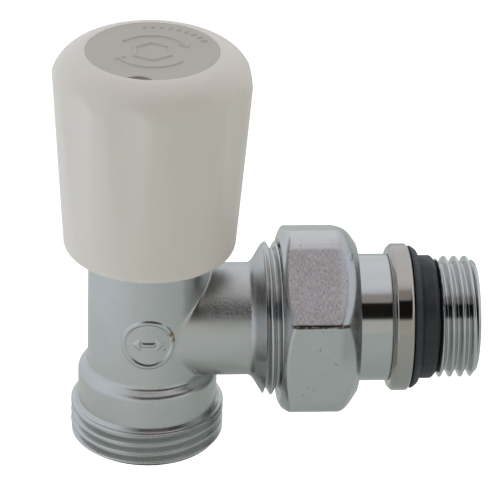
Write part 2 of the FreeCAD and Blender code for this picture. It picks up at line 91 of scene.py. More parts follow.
# Valve body.
neck_radius = 10.4
barrel_radius = 12.0
barrel_height = 13.6
barrel_rounding = 1.3
branch_radius = 9.7
collar_height = 6.6
barrel_blend = 1.2
junction_blend = 0.35
inlet_crest_front = 0.95
union_crest_top = 20.19
flare_start = 16.9
flare_end = 19.75
socket_depth = 10.5
seat_radius = 5.0
chamber_floor = 15.4
chamber_radius = 8.3
lip_radius = 5.8
lip_top = 16.4
bonnet_bore = 8.8
bonnet_bore_start = 30.0
branch_bore = 6.3
nose_bore = 8.3
nose_bore_start = 24.6
collar_edge = 0.25
runout_start = 0.3
runout_length = 0.7
thread_step = 0.05
lead_depth = 0.9
lead_slope = 1.2
forging_step = 0.22
mark_height = 22.8
mark_across = -0.45
mark_radius = 4.25
mark_line = 0.95
mark_edge = 0.9
mark_relief = 0.29
mark_arrow_half = 2.85
mark_arrow_head = 1.6
mark_arrow_half_width = 1.4
mark_margin = 0.8
mark_buried = 0.25
mark_root = 1.0
mark_cells = 150
brass_spots = ((3.5, 1.9, 0.8), (3.8, 0.8, 0.9), (2.4, -1.0, 0.5))
blasted_from = 9.0
blasted_to = 18.0
# Where painted shade darkens the flare, along the branch.
flare_shade_from = 17.0
flare_shade_to = 20.0

# Union nut.
nut_flats = 31.2
nut_parting = 24.5
nut_parting_edge = 0.8
nut_edge = 4.4
nut_full = 17.9
nut_face = 14.5
nut_back = 13.0
nut_chamfer_start = 1.5
nut_chamfer_end = 3.3
nut_bore = 13.32
nut_back_wall = 31.6
nut_blend_start = 0.8
nut_blend_end = 1.6
nut_ripple = 0.02
nut_nick = (34.4, -4.0, 14.0)
snug = 0.03

# Tailpiece.
pipe_radius = 10.95
nose_radius = 8.2
nose_groove_radius = 6.75
nose_groove_middle = 26.3
nose_groove_half = 0.8
shoulder_start = 27.7
shoulder_end = 30.7
shoulder_radius = 12.8
ring_seat = 10.2
gasket_seat = 9.4
tail_crest_top = 51.25
tail_lead = 55.4
tail_tip = 9.5
tail_key_flats = 12.0
tail_key_depth = 6.0
tail_mouth = 7.2

# Gasket.
gasket_flange = 12.3
gasket_flange_end = 46.2
gasket_radius = 10.65
gasket_body_end = 48.9

# Cap.
cap_low_radius = 14.55
cap_wide_radius = 16.9
cap_wide_height = 67.5
shoulder_rounding = 5.7
shoulder_fullness = 1.87
rim_rounding = 1.5
cap_wall = 2.1
cap_inner_top = 68.8
hub_inner = 9.6
hub_outer = 11.2
hub_low = 50.0
snap_low = 59.0
snap_width = 1.1
snap_radius = 10.2
recess_radius = 11.15
recess_edge = 0.04
recess_floor = 71.3
key_hole = 5.4
flute_count = 10
flute_ridge = 2.0
flute_depth = 0.5
flute_round = 30.0
flute_blend = 0.3
flute_top = 70.0
flute_fade = 42.0

# Disc.
disc_top = 72.8
disc_floor = recess_floor
disc_skirt = 5.25
disc_skirt_inner = 4.6
notch_middle = -13.0
notch_half = 12.0
notch_depth = 1.3
disc_snug = 0.12
disc_edge = 0.06
disc_dish = 0.12
relief = 0.24
relief_edge = 0.3
relief_line = 0.3
relief_hexagon = 2.9
relief_arrow_ring = 6.1
relief_arrow_reach = 115
relief_tick_ring = 9.55
relief_tick_middle = 60.0
relief_tick_spacing = 9.0

# Camera, fitted to the photograph's view.
view_azimuth = -4.756
view_elevation = 28.541
view_roll = 1.846
view_distance = 556.9
view_target = (17.153, 0.0, 35.355)
view_lens = 235.32


# Meshes.

def mesh_object(name, points, faces):
    """Mesh from points in millimetres and faces, turned outward."""
    points = np.asarray(points, float)
    faces = [np.asarray(group, int) for group in faces if len(group)]
    volume = 0.0
    for group in faces:
        first = points[group[:, 0]]
        for corner in range(1, group.shape[1] - 1):
            cross = np.cross(points[group[:, corner]], points[group[:, corner + 1]])
            volume += (first * cross).sum()
    if volume < 0:
        faces = [group[:, ::-1] for group in faces]
    mesh = bpy.data.meshes.new(name)
    sizes = np.concatenate([np.full(len(group), group.shape[1]) for group in faces])
    corners = np.concatenate([group.ravel() for group in faces])
    mesh.vertices.add(len(points))
    mesh.vertices.foreach_set("co", (points * MM).ravel())
    mesh.loops.add(len(corners))
    mesh.loops.foreach_set("vertex_index", corners)
    mesh.polygons.add(len(sizes))
    mesh.polygons.foreach_set("loop_start", np.concatenate([[0], np.cumsum(sizes)[:-1]]))
    mesh.update(calc_edges=True)
    mesh.validate()
    piece = bpy.data.objects.new(name, mesh)
    bpy.context.scene.collection.objects.link(piece)
    return piece


def smooth(piece, angle=32.0):
    """Smooth shading, with an edge kept sharp where its faces meet at more than this angle."""
    mesh = piece.data
    mesh.polygons.foreach_set("use_smooth", np.ones(len(mesh.polygons), bool))
    mesh.set_sharp_from_angle(angle=math.radians(angle))
    mesh.update()
    return piece


def ring_faces(rows, columns, close_rows):
    row = np.arange(rows if close_rows else rows - 1)[:, None]
    column = np.arange(columns)[None, :]
    after_row = (row + 1) % rows
    after_column = (column + 1) % columns
    corners = [row * columns + column, row * columns + after_column]
    corners += [after_row * columns + after_column, after_row * columns + column]
    return np.stack([c.ravel() for c in np.broadcast_arrays(*corners)], 1)


def turned(name, sections, direction, columns=288):
    """Closed ring of sections, each (position, radius) rows, turned about the spindle or the branch."""
    position = np.concatenate([np.broadcast_to(s[0], (len(s[0]), columns)) for s in sections])
    radius = np.concatenate([np.broadcast_to(s[1], (len(s[1]), columns)) for s in sections])
    angle = angles(columns)
    if direction == "up":
        points = np.stack([radius * np.sin(angle), -radius * np.cos(angle), position], -1)
    else:
        points = np.stack([position, -radius * np.cos(angle), branch_height + radius * np.sin(angle)], -1)
    return mesh_object(name, points.reshape(-1, 3), [ring_faces(len(position), columns, True)])


def angles(columns):
    return np.linspace(0, 2 * math.pi, columns, endpoint=False)[None, :]


def wall(*points, step=0.5):
    """Straight runs through (position, radius) points, cut into steps."""
    rows = []
    for (a0, r0), (a1, r1) in zip(points, points[1:]):
        count = max(1, math.ceil(math.hypot(a1 - a0, r1 - r0) / step))
        share = np.arange(count) / count
        rows += [(a0 + (a1 - a0) * s, r0 + (r1 - r0) * s) for s in share]
    rows.append(points[-1])
    rows = np.array(rows)
    return rows[:, :1], rows[:, 1:]


def soften(points, radius, steps=5):
    """The same outline with each inner corner turned into a small arc of about this radius."""
    result = [points[0]]
    for before, corner, after in zip(points, points[1:], points[2:]):
        corner = np.array(corner, float)
        to_before = np.array(before) - corner
        to_after = np.array(after) - corner
        reach = min(radius, 0.45 * np.linalg.norm(to_before), 0.45 * np.linalg.norm(to_after))
        start = corner + to_before / np.linalg.norm(to_before) * reach
        end = corner + to_after / np.linalg.norm(to_after) * reach
        for share in np.linspace(0, 1, steps):
            bend = (1 - share) ** 2 * start + 2 * share * (1 - share) * corner + share ** 2 * end
            result.append(tuple(bend))
    result.append(points[-1])
    return result


def thread_drop(offset):
    """How far a rounded Whitworth form lies below its crest, at an offset along the axis from the crest."""
    offset = np.abs((offset / pitch + 0.5) % 1.0 - 0.5) * pitch
    arc = rounding * math.cos(flank_tilt)
    arc_drop = rounding * (1 - math.sin(flank_tilt))
    crest = rounding - np.sqrt(np.clip(rounding ** 2 - offset ** 2, 0, None))
    flank = arc_drop + (offset - arc) / math.tan(flank_tilt)
    from_root = pitch / 2 - offset
    root = thread_depth - rounding + np.sqrt(np.clip(rounding ** 2 - from_root ** 2, 0, None))
    return np.where(offset < arc, crest, np.where(from_root < arc, root, flank))


def helix(position, columns, crest_position, hand):
    """Distance along the axis from a crest line of a one-start thread, over the angles."""
    return position - crest_position - hand * pitch * angles(columns) / (2 * math.pi)


def smooth_min(a, b, blend):
    h = np.clip(0.5 + 0.5 * (b - a) / blend, 0, 1)
    return b * (1 - h) + a * h - blend * h * (1 - h)


def surface_net(field, low, high, step):
    """Points and quads of the surface where the field is zero, pulled onto it along the field's slope."""
    axes = [np.arange(a, b + step, step) for a, b in zip(low, high)]
    grid = np.stack(np.meshgrid(*axes, indexing="ij"), -1)
    inside = field(grid) < 0
    shape = np.array(inside.shape) - 1
    corner_sets = [inside[dx:dx + shape[0], dy:dy + shape[1], dz:dz + shape[2]]
                   for dx in (0, 1) for dy in (0, 1) for dz in (0, 1)]
    count = np.sum(corner_sets, axis=0)
    active = (count > 0) & (count < 8)
    number = np.full(active.shape, -1)
    number[active] = np.arange(active.sum())
    points = np.array(low) + (np.argwhere(active) + 0.5) * step
    quads = []
    for axis in range(3):
        side, up = (axis + 1) % 3, (axis + 2) % 3
        near = [slice(1, -1)] * 3
        near[axis] = slice(0, -1)
        far = list(near)
        far[axis] = slice(1, None)
        start, end = inside[tuple(near)], inside[tuple(far)]
        for crossed, flip in ((start & ~end, False), (~start & end, True)):
            cell = np.argwhere(crossed)
            cell[:, side] += 1
            cell[:, up] += 1
            around = []
            for back_side, back_up in ((1, 1), (0, 1), (0, 0), (1, 0)):
                at = cell.copy()
                at[:, side] -= back_side
                at[:, up] -= back_up
                around.append(number[tuple(at.T)])
            quad = np.stack(around, 1)
            quads.append(quad[:, ::-1] if flip else quad)
    nudge, rounds = 0.01, 6
    for _ in range(rounds):
        slope = np.stack([field(points + d) - field(points - d) for d in np.eye(3) * nudge], -1) / (2 * nudge)
        steep = np.maximum((slope ** 2).sum(-1, keepdims=True), 0.2)
        move = field(points)[:, None] * slope / steep
        points = points - np.clip(move, -step / 2, step / 2)
    return points, np.concatenate(quads)


def join(base, others, operation):
    """Union or difference of closed meshes, applied to the base. The others are used up."""
    for other in others:
        modifier = base.modifiers.new(other.name, "BOOLEAN")
        modifier.operation = operation
        modifier.solver = "MANIFOLD"
        modifier.object = other
    bpy.context.view_layer.update()
    seen = base.evaluated_get(bpy.context.evaluated_depsgraph_get())
    result = bpy.data.meshes.new_from_object(seen)
    base.modifiers.clear()
    base.data = result
    for other in others:
        bpy.data.objects.remove(other)
    return base


# Valve body.

def forging_field(points):
    x, y, z = points[..., 0], points[..., 1], points[..., 2]
    from_spindle = np.hypot(x, y)
    neck = from_spindle - neck_radius
    out = from_spindle - barrel_radius + barrel_rounding
    up = z - barrel_height + barrel_rounding
    beyond = np.hypot(np.maximum(out, 0), np.maximum(up, 0))
    barrel = beyond + np.minimum(np.maximum(out, up), 0) - barrel_rounding
    column = smooth_min(neck, barrel, barrel_blend)
    branch = np.maximum(np.hypot(y, z - branch_height) - branch_radius, -x)
    whole = smooth_min(column, branch, junction_blend)
    ends = np.maximum(np.maximum(z - neck_top, collar_height + 0.2 - z), x - flare_start - 0.6)
    return np.maximum(whole, ends)


def inlet_collar():
    """Threaded collar with its ledge and the fillet up to the barrel."""
    columns = 360
    edge = collar_height - collar_edge
    rise = np.arange(0, edge, thread_step)[:, None]
    drop = thread_drop(helix(rise, columns, inlet_crest_front, 1))
    runout = np.clip((collar_height - runout_start - rise) / runout_length, 0, 1)
    radius = crest_34 - drop * runout
    lead = crest_34 - lead_depth + rise * lead_slope
    radius = smooth_min(radius, lead + 0 * radius, 0.15)
    ledge = soften([(edge, crest_34), (collar_height, crest_34 - collar_edge),
                    (collar_height + 0.02, barrel_radius + 0.55), (collar_height + 0.7, barrel_radius - 0.04),
                    (collar_height + 0.9, barrel_radius - 0.3)], 0.3)
    inside = wall(ledge[-1], (collar_height + 0.9, seat_radius), (0, seat_radius), (0, crest_34 - 0.95))
    return turned("inlet_collar", [(rise, radius), wall(*ledge), inside], "up", columns)


def union_thread():
    """Flare and thread that the union nut screws on."""
    columns = 360
    reach = np.arange(flare_end - 0.5, branch_end, thread_step)[:, None]
    drop = thread_drop(helix(reach, columns, union_crest_top + pitch / 4, -1))
    fade_in = np.clip((reach - flare_end + 0.5) / 0.6, 0, 1)
    radius = crest_34 - drop * fade_in
    foot_reach, foot_radius, flare_slope = 18.45, 11.2, 1.65
    flare_line = foot_radius + (reach - foot_reach) * flare_slope
    end_line = crest_34 + (branch_end - reach) * lead_slope - 0.85
    radius = smooth_min(smooth_min(radius, flare_line + 0 * radius, 0.12), end_line + 0 * radius, 0.12)
    foot = [(flare_start, branch_radius - 0.05), (17.4, branch_radius + 0.12), (17.9, branch_radius + 0.6)]
    foot += [(foot_reach, foot_radius),
             (flare_end - 0.5, foot_radius + (flare_end - foot_reach - 0.5) * flare_slope)]
    start = wall((branch_end, crest_34 - lead_depth), (branch_end, branch_bore), (flare_start, branch_bore),
                 foot[0])
    return turned("union_thread", [wall(*soften(foot, 0.5)), (reach, radius), start], "along", columns)


def mark_shape(x, z):
    """Below zero inside the raised ring and two-way arrow, in millimetres from the mark's centre."""
    ring = np.abs(np.hypot(x, z) - mark_radius) - mark_line / 2
    shaft = np.maximum(np.abs(z) - mark_line / 2, np.abs(x) - mark_arrow_half + mark_arrow_head)
    lean = mark_arrow_head / mark_arrow_half_width
    slope = np.abs(x) - mark_arrow_half + np.abs(z) * lean
    head = np.maximum(slope / math.hypot(1, lean), mark_arrow_half - mark_arrow_head - np.abs(x))
    return np.minimum(ring, np.minimum(shaft, head))


def neck_mark():
    """Patch of the neck's front whose raised lines stand out of the forging and whose rest lies inside it."""
    half = mark_radius + mark_margin
    across = np.linspace(-half, half, mark_cells)
    x, z = np.meshgrid(across, across, indexing="ij")
    share = np.clip(0.5 - mark_shape(x, z) / mark_edge, 0, 1)
    height = neck_radius - mark_buried + (mark_buried + mark_relief) * share * share * (3 - 2 * share)
    turn = (x + mark_across) / neck_radius
    layers = []
    for radius in (height, np.full_like(height, neck_radius - mark_root)):
        layer = np.stack([radius * np.sin(turn), -radius * np.cos(turn), mark_height + z], -1)
        layers.append(layer.reshape(-1, 3))
    size = len(across)
    row, column = np.meshgrid(np.arange(size - 1), np.arange(size - 1), indexing="ij")
    front = np.stack([row * size + column, row * size + column + 1, (row + 1) * size + column + 1,
                      (row + 1) * size + column], -1).reshape(-1, 4)
    back = front[:, ::-1] + size * size
    line = np.arange(size)
    border = np.concatenate([line * size, (size - 1) * size + line[1:], line[::-1][1:] * size + size - 1,
                             line[::-1][1:-1]])
    after = np.roll(border, -1)
    sides = np.stack([border, after, after + size * size, border + size * size], 1)
    return mesh_object("neck_mark", np.concatenate(layers), [front, back, sides])


def passages():
    """Water ways, cut out of the body: up the spindle's axis and out along the branch."""
    up = [(-1, 0.01), (-1, mouth_radius), (mouth_depth, mouth_radius), (3.6, socket_radius)]
    up += [(socket_depth, socket_radius), (socket_depth, seat_radius), (lip_top, seat_radius)]
    up += [(lip_top, lip_radius), (chamber_floor, lip_radius), (chamber_floor, chamber_radius)]
    up += [(bonnet_bore_start, chamber_radius), (bonnet_bore_start, bonnet_bore)]
    up += [(neck_top - 0.4, bonnet_bore), (neck_top + 0.2, bonnet_bore + 0.6)]
    up += [(neck_top + 1, bonnet_bore + 0.6), (neck_top + 1, 0.01)]
    along = [(4, 0.01), (4, branch_bore), (nose_bore_start, branch_bore), (nose_bore_start, nose_bore)]
    along += [(branch_end - 0.4, nose_bore), (branch_end + 0.2, nose_bore + 0.6)]
    along += [(branch_end + 1, nose_bore + 0.6), (branch_end + 1, 0.01)]
    return [turned("upright_passage", [wall(*up)], "up", 144),
            turned("branch_passage", [wall(*along)], "along", 144)]


def valve_body():
    low = (-barrel_radius - 0.9, -barrel_radius - 0.9, collar_height - 0.3)
    high = (flare_start + 1.2, barrel_radius + 0.9, neck_top + 0.6)
    points, quads = surface_net(forging_field, low, high, forging_step)
    body = mesh_object("valve_forging", points, [quads])
    join(body, [inlet_collar(), union_thread(), neck_mark()], "UNION")
    join(body, passages(), "DIFFERENCE")
    return smooth(body, 38.0)


# Union nut.

def nut_section(angle):
    """Radius of the nut's hexagon: nearly sharp where the two dies met, well rounded at its other corners."""
    half_flats = nut_flats / 2
    from_parting = (angle - math.radians(nut_parting) + math.pi / 2) % math.pi - math.pi / 2
    edge = np.where(np.abs(from_parting) < math.pi / 6, nut_parting_edge, nut_edge)
    from_corner = np.abs((angle - math.radians(nut_parting) + math.pi / 6) % (math.pi / 3) - math.pi / 6)
    from_middle = math.pi / 6 - from_corner
    flat = half_flats / np.cos(from_middle)
    centre = (half_flats - edge) / math.cos(math.pi / 6)
    beside = np.maximum(edge ** 2 - (centre * np.sin(from_corner)) ** 2, 0)
    corner = centre * np.cos(from_corner) + np.sqrt(beside)
    touch = np.arctan((half_flats - edge) * math.tan(math.pi / 6) / half_flats)
    return np.where(from_middle > touch, corner, flat)


def union_nut():
    columns = 720
    reach = np.linspace(nut_start, nut_end, 134)[:, None]
    angle = angles(columns)
    start_slope = (nut_full - nut_face) / nut_chamfer_start
    end_slope = (nut_full - nut_back) / nut_chamfer_end
    start_cone = nut_face + (reach - nut_start) * start_slope
    end_cone = nut_back + (nut_end - reach) * end_slope
    radius = smooth_min(nut_section(angle) + 0 * reach, start_cone + 0 * angle, nut_blend_start)
    radius = smooth_min(radius, end_cone + 0 * angle, nut_blend_end)
    ripple = np.sin(3 * angle + 0.9 * reach) * np.sin(7 * angle - 0.7 * reach + 1.0)
    outer = (reach, radius - nut_ripple * (1 + ripple))
    clear = pipe_radius + 2 * snug
    last = float(radius[-1].mean())
    back = wall((nut_end, last - 0.25), (nut_end, clear + 0.3), (nut_end - 0.3, clear),
                (nut_back_wall, clear), (nut_back_wall, nut_bore))
    bore = np.arange(nut_back_wall, nut_start + 0.6, -0.06)[:, None]
    cut = thread_drop(helix(bore, columns, union_crest_top + pitch / 4, -1))
    inner = (bore, nut_bore + 0.3 * (1 - cut / thread_depth))
    face = wall((nut_start + 0.5, nut_bore + 0.1), (nut_start + 0.1, nut_bore + 0.25),
                (nut_start, nut_bore + 0.35))
    return smooth(turned("union_nut_forged", [outer, back, inner, face], "along", columns), 50.0)


# Tailpiece and what sits on it.

def hexagon_section(flats, columns):
    turn = (angles(columns) + math.pi / 6) % (math.pi / 3) - math.pi / 6
    return flats / 2 / np.cos(turn)


def tailpiece():
    columns = 360
    groove_low, groove_high = nose_groove_middle - nose_groove_half, nose_groove_middle + nose_groove_half
    outline = [(tail_start, water_way), (tail_start, nose_radius - 0.6), (tail_start + 0.6, nose_radius)]
    outline += [(groove_low, nose_radius), (groove_low, nose_groove_radius)]
    outline += [(groove_high, nose_groove_radius), (groove_high, nose_radius), (shoulder_start, nose_radius)]
    outline += [(shoulder_start, shoulder_radius), (shoulder_end, shoulder_radius)]
    outline += [(shoulder_end + 0.4, pipe_radius), (ring_start - 0.02, pipe_radius)]
    outline += [(ring_start - 0.02, ring_seat), (ring_end, ring_seat), (ring_end, gasket_seat)]
    outline += [(gasket_end, gasket_seat), (gasket_end, crest_12 - thread_depth)]
    reach = np.arange(gasket_end, tail_lead + 0.55, thread_step)[:, None]
    drop = thread_drop(helix(reach, columns, tail_crest_top + pitch / 4, -1))
    radius = crest_12 - drop
    start_line = crest_12 - thread_depth + (reach - gasket_end) * 2.2
    lead_line = crest_12 - (reach - tail_lead) * 1.0
    radius = smooth_min(smooth_min(radius, start_line + 0 * radius, 0.1), lead_line + 0 * radius, 0.1)
    tip = soften([(tail_lead + 0.5, tail_tip + 0.3), (tail_end, tail_tip), (tail_end, tail_mouth)], 0.25)
    key = hexagon_section(tail_key_flats, columns)
    mouth = np.linspace(0, 0.5, 4)[:, None]
    key_mouth = (tail_end - mouth + 0 * key, np.maximum(tail_mouth - 0.05 - mouth * 0.9, key))
    key_walls = np.linspace(tail_end - 0.8, tail_end - tail_key_depth, 12)[:, None]
    key_floor = tail_end - tail_key_depth - 0.01
    sections = [wall(*soften(outline, 0.12)), (reach, radius), wall(*tip), key_mouth]
    sections += [(key_walls + 0 * key, key + 0 * key_walls)]
    sections += [wall((key_floor, water_way), (tail_start + 0.2, water_way))]
    return smooth(turned("tail_tube", sections, "along", columns), 40.0)


def thrust_ring():
    inner = ring_seat + snug
    edge = 0.65
    outline = [(ring_start, inner), (ring_start, ring_radius - edge), (ring_start + edge, ring_radius)]
    outline += [(ring_end - edge, ring_radius), (ring_end, ring_radius - edge), (ring_end, inner)]
    return smooth(turned("thrust_ring_turned", [wall(*soften(outline, 0.16), step=0.4)], "along"), 40.0)


def tail_gasket():
    inner = gasket_seat + snug
    outline = [(gasket_start, inner), (gasket_start, gasket_flange), (gasket_start + 0.35, gasket_flange)]
    outline += [(gasket_flange_end, gasket_flange - 0.75), (gasket_flange_end + 0.1, gasket_radius - 0.1)]
    outline += [(gasket_flange_end + 0.5, gasket_radius), (gasket_body_end - 0.3, gasket_radius)]
    outline += [(gasket_end, gasket_radius - 0.75), (gasket_end, inner)]
    return smooth(turned("tail_gasket_moulded", [wall(*soften(outline, 0.3), step=0.4)], "along"), 60.0)


# Cap.

def cap_profile(height):
    """Outer radius of the cap without its flutes. Its big shoulder is a little less full than a round one."""
    rise = (height - cap_low) / (cap_wide_height - cap_low)
    radius = cap_low_radius + rise * (cap_wide_radius - cap_low_radius)
    radius = np.minimum(radius, cap_wide_radius)
    over = np.clip(height - (cap_top - shoulder_rounding), 0, shoulder_rounding)
    left = np.maximum(shoulder_rounding ** shoulder_fullness - over ** shoulder_fullness, 0)
    rounded = cap_wide_radius - shoulder_rounding + left ** (1 / shoulder_fullness)
    return np.minimum(radius, rounded)


def cap_shell():
    columns = 720
    shoulder = cap_top - shoulder_rounding
    arc = np.sin(np.linspace(0, math.pi / 2, 40)) * shoulder_rounding
    straight = np.linspace(cap_low + rim_rounding, shoulder, 110)[:-1]
    height = np.concatenate([straight, shoulder + arc])[:, None]
    base = cap_profile(height) + 0 * angles(columns)
    top_line = cap_profile(np.array(cap_wide_height)) - flute_depth
    low_line = cap_profile(np.array(flute_fade))
    middle = low_line + (height - flute_fade) / (flute_top - flute_fade) * (top_line - low_line)
    spacing = 2 * math.pi / flute_count
    turn = (angles(columns) - math.radians(flute_ridge)) % spacing - spacing / 2
    centre = middle + flute_round
    flute = centre * np.cos(turn) - np.sqrt(flute_round ** 2 - (centre * np.sin(turn)) ** 2)
    radius = smooth_min(base, flute, flute_blend)
    rim_inner = cap_low_radius - cap_wall
    top = wall((cap_top, recess_radius + recess_edge), (cap_top - recess_edge, recess_radius),
               (recess_floor, recess_radius), (recess_floor, key_hole), (cap_inner_top, key_hole),
               (cap_inner_top, hub_inner), (snap_low + snap_width, hub_inner),
               (snap_low + snap_width, snap_radius), (snap_low, snap_radius), (snap_low, hub_inner),
               (hub_low, hub_inner), (hub_low, hub_outer), (cap_inner_top, hub_outer),
               (cap_inner_top, cap_wide_radius - 4.0), (cap_inner_top - 2, cap_wide_radius - cap_wall - 0.4),
               (cap_low + 0.5, rim_inner), (cap_low, rim_inner + 0.4), step=1.0)
    foot = cap_low_radius - rim_rounding
    lip = wall((cap_low, rim_inner + 0.4), (cap_low, foot))
    rim_angle = np.linspace(0, math.pi / 2, 9)[1:-1, None]
    rim_arc = (cap_low + rim_rounding * (1 - np.cos(rim_angle)),
               foot + (radius[0].mean() - foot) * np.sin(rim_angle))
    return smooth(turned("cap_moulding", [(height, radius), top, lip, rim_arc], "up", columns), 45.0)


def disc_relief_shape(x, y):
    """Below zero inside the raised marks: a hexagon, two curved arrows and a row of ticks."""
    radius = np.hypot(x, y)
    turn = np.arctan2(y, x)
    sector = (turn + math.pi / 6) % (math.pi / 3) - math.pi / 6
    marks = np.abs(radius * np.cos(sector) - relief_hexagon) - relief_line
    off_ring = np.abs(radius - relief_arrow_ring)
    for start in (25.0, 205.0):
        swept = (np.degrees(turn) - start) % 360
        past_end = np.where(swept > 180 + relief_arrow_reach / 2, 1.0, swept - relief_arrow_reach) * 0.1
        arc = np.maximum(off_ring - relief_line, past_end)
        tip = ((np.degrees(turn) - start + 180) % 360 - 180) * math.radians(relief_arrow_ring)
        head = np.maximum(off_ring * 1.6 + (-1.4 - tip), tip - 0.2) * 0.6
        marks = np.minimum(marks, np.minimum(arc, head))
    tick_turn = (np.degrees(turn) - relief_tick_middle + 180) % 360 - 180
    nearest = np.clip(np.round(tick_turn / relief_tick_spacing), -4, 4) * relief_tick_spacing
    across = (tick_turn - nearest) * math.radians(1) * radius
    ticks = np.maximum(np.abs(across) - 0.28, np.abs(radius - relief_tick_ring) - 0.5)
    return np.minimum(marks, ticks)


def cap_disc():
    columns = 720
    angle = angles(columns)
    from_notch = (np.degrees(angle) - notch_middle + 180) % 360 - 180
    bite = notch_depth * np.clip(1 - (from_notch / notch_half) ** 2, 0, 1)
    outer = disc_radius + disc_snug - bite
    share = np.linspace(0.004, 1, 112)[:, None]
    radius = share * (outer - disc_edge)
    marks = disc_relief_shape(radius * np.sin(angle), -radius * np.cos(angle))
    share_up = np.clip(0.5 - marks / relief_edge, 0, 1)
    dish = disc_dish * (1 - (radius / disc_radius) ** 2)
    height = disc_top + relief * share_up * share_up * (3 - 2 * share_up) - dish
    rim_turn = np.linspace(0, math.pi / 2, 5)[1:, None]
    rim = (disc_top - disc_edge * (1 - np.cos(rim_turn)) + 0 * angle,
           outer - disc_edge * (1 - np.sin(rim_turn)))
    under = (np.array([[disc_floor + 0.02]]) + 0 * angle, outer + 0 * angle)
    below = wall((disc_floor + 0.02, disc_skirt), (disc_low, disc_skirt), (disc_low, disc_skirt_inner),
                 (disc_floor + 0.3, disc_skirt_inner), (disc_floor + 0.3, 0.05))
    return smooth(turned("cap_disc_moulded", [(height, radius), rim, under, below], "up", columns), 50.0)


# Materials.

class Nodes:
    """Small helper that adds linked shader nodes to a tree."""

    def __init__(self, tree, place):
        self.tree = tree
        self.place = self.add("ShaderNodeTexCoord").outputs[place]

    def add(self, kind, **inputs):
        node = self.tree.nodes.new(kind)
        for key, value in inputs.items():
            if key.startswith("set_"):
                setattr(node, key[4:], value)
        for key, value in inputs.items():
            if not key.startswith("set_"):
                self.give(node, key, value)
        return node

    def give(self, node, key, value):
        numbered = key[0] == "_" and key[1:].isdigit()
        socket = node.inputs[int(key[1:]) if numbered else key.replace("_", " ")]
        if isinstance(value, bpy.types.NodeSocket):
            self.tree.links.new(value, socket)
        else:
            socket.default_value = value

    def noise(self, size, detail=2.0, place=None, roughness=0.5):
        """Noise between 0 and 1 whose features are about this many millimetres across."""
        node = self.add("ShaderNodeTexNoise", Vector=place or self.place, Scale=1.0 / (size * MM),
                        Detail=detail, Roughness=roughness)
        return node.outputs["Fac"]

    def remap(self, value, low, high, to_low=0.0, to_high=1.0):
        node = self.add("ShaderNodeMapRange", Value=value, From_Min=low, From_Max=high, To_Min=to_low,
                        To_Max=to_high)
        return node.outputs["Result"]

    def math(self, operation, first, second):
        return self.add("ShaderNodeMath", set_operation=operation, _0=first, _1=second).outputs["Value"]

    def times(self, first, second):
        return self.math("MULTIPLY", first, second)

    def mix(self, share, first, second):
        node = self.add("ShaderNodeMix", set_data_type="RGBA", _0=share, _6=first, _7=second)
        return node.outputs[2]

    def mottled(self, size, low, high, colour, tint):
        """Patches of two colours, about this many millimetres across."""
        return self.mix(self.remap(self.noise(size, 3.0), low, high), rgb(*colour), rgb(*tint))

    def ramp(self, value, stops):
        """Colours between stops, each a position from 0 to 1 and a colour."""
        node = self.add("ShaderNodeValToRGB", Fac=value)
        elements = node.color_ramp.elements
        while len(elements) < len(stops):
            elements.new(0.5)
        for element, (position, colour) in zip(elements, stops):
            element.position = position
            element.color = rgb(*colour)
        return node.outputs["Color"]

    def for_camera(self, other, seen):
        """One shader for the camera's own rays and another for all other light."""
        sight = self.add("ShaderNodeLightPath")
        return self.add("ShaderNodeMixShader", _0=sight.outputs["Is Camera Ray"], _1=other, _2=seen)

    def along(self, axis):
        return self.add("ShaderNodeSeparateXYZ", Vector=self.place).outputs[axis]

    def fade(self, axis, low, high, to_low=0.0, to_high=1.0):
        """One value up to the first place on an axis and the other from the second on, in millimetres."""
        return self.remap(self.along(axis), low * MM, high * MM, to_low, to_high)

    def near(self, point, radius):
        """1 at a point given in millimetres, falling to 0 at this distance from it."""
        centre = tuple(value * MM for value in point)
        node = self.add("ShaderNodeVectorMath", set_operation="DISTANCE", _0=self.place, _1=centre)
        return self.remap(node.outputs["Value"], 0.3 * radius * MM, radius * MM, 1.0, 0.0)

    def stretched(self, scale):
        return self.add("ShaderNodeMapping", Vector=self.place, Scale=scale).outputs["Vector"]

    def bump(self, height, strength, distance):
        node = self.add("ShaderNodeBump", Height=height, Strength=strength, Distance=distance * MM)
        return node.outputs["Normal"]

    def edges(self, low, high):
        """1 on convex edges, 0 elsewhere."""
        return self.remap(self.add("ShaderNodeNewGeometry").outputs["Pointiness"], low, high)


class Surface(Nodes):
    """Nodes of a new material round the standard shader."""

    def __init__(self, name):
        self.material = bpy.data.materials.new(name)
        self.material.use_nodes = True
        super().__init__(self.material.node_tree, "Object")
        self.shader = self.tree.nodes["Principled BSDF"]

    def finish(self, **sockets):
        for key, value in sockets.items():
            self.give(self.shader, key, value)
        return self.material


def rgb(red, green, blue):
    return (red, green, blue, 1.0)


def metal(name, colour, tint, roughness, grain, grain_height, worn=None):
    """Plated or bare metal: patches of tint, fine grain, and edges worn to another colour."""
    n = Surface(name)
    plate = n.mottled(6.0, 0.35, 0.65, colour, tint)
    if worn:
        wear = n.times(n.edges(0.52, 0.6), n.remap(n.noise(1.2, 2.0), 0.5, 0.7, 0.0, 0.6))
        plate = n.mix(wear, plate, rgb(*worn))
    fine = n.noise(grain, 3.0)
    blur = n.remap(n.noise(2.5, 3.0), 0.3, 0.7, roughness * 0.85, roughness * 1.15)
    return n.finish(Base_Color=plate, Metallic=1.0, Roughness=blur, Normal=n.bump(fine, 1.0, grain_height))


